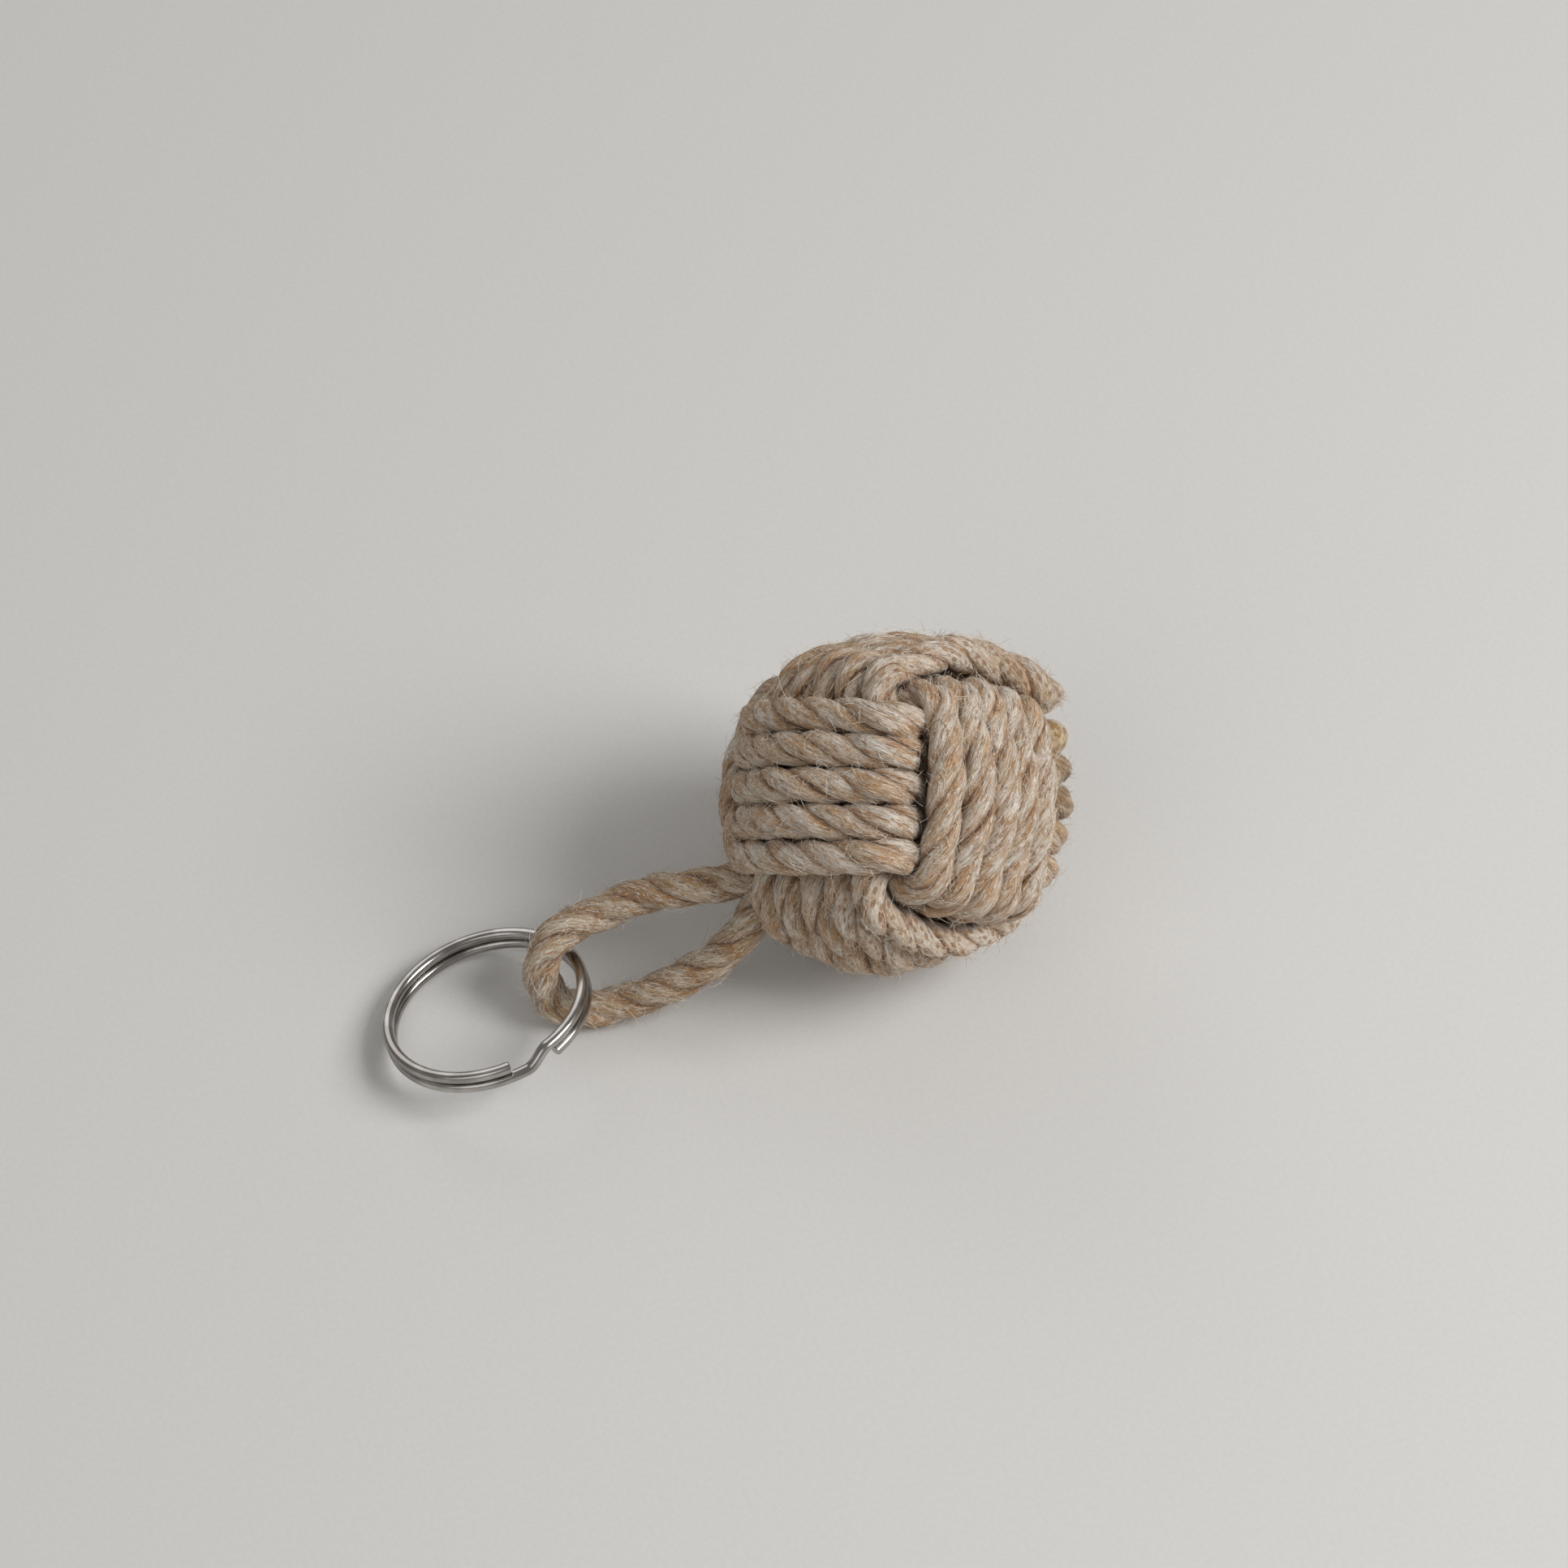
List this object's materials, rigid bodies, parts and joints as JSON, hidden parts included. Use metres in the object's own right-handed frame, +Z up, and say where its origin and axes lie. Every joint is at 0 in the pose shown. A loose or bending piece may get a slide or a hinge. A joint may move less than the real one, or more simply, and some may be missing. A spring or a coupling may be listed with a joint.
{
  "type": "rope keychain",
  "caption": "Monkey's fist knot of natural rope round a hidden ball, with a rope eye at one corner holding a split key ring.",
  "frame": {"origin": "on the surface that the keychain lies on, under the middle of the knot and ring taken together", "axes": "+Z up, +X from the split ring towards the knot, along the keychain's length"},
  "size_m": [0.0975, 0.0467, 0.0481],
  "materials": {
    "knot_rope": "matt natural hemp",
    "eye_rope": "matt natural hemp",
    "core_wood": "sanded, unvarnished",
    "set_glue": "glossy, yellowish",
    "ring_metal": "bright nickel plate"
  },
  "bodies": {
    "fist": {"core_ball": "core_wood", "first_winding": "knot_rope", "second_winding": "knot_rope", "third_winding": "knot_rope", "glue_dab": "set_glue"},
    "loop": {"rope_loop": "eye_rope"},
    "ring": {"split_ring": "ring_metal"},
    "leaf": {"ring_end": "ring_metal"}
  },
  "joints": [
    {"name": "loop_flex", "type": "hinge", "parent": "fist", "child": "loop", "pos_m": [0.00085, -0.00299, 0.01666], "axis": [0.0899, 0.996, 0], "range_deg": [-60, 60], "stiffness_Nm_per_rad": 0.03, "deforming": ["rope_loop"]},
    {"name": "ring_swing", "type": "hinge", "parent": "loop", "child": "ring", "pos_m": [-0.02196, -0.00093, 0.0077], "axis": [-0.0172, 0.9732, -0.2294], "range_deg": [-90, 90]},
    {"name": "ring_open", "type": "hinge", "parent": "ring", "child": "leaf", "pos_m": [-0.04776, -0.00051, 0.00262], "axis": [-0.974, 0.0891, -0.2085], "range_deg": [0, 10], "stiffness_Nm_per_rad": 0.05}
  ]
}
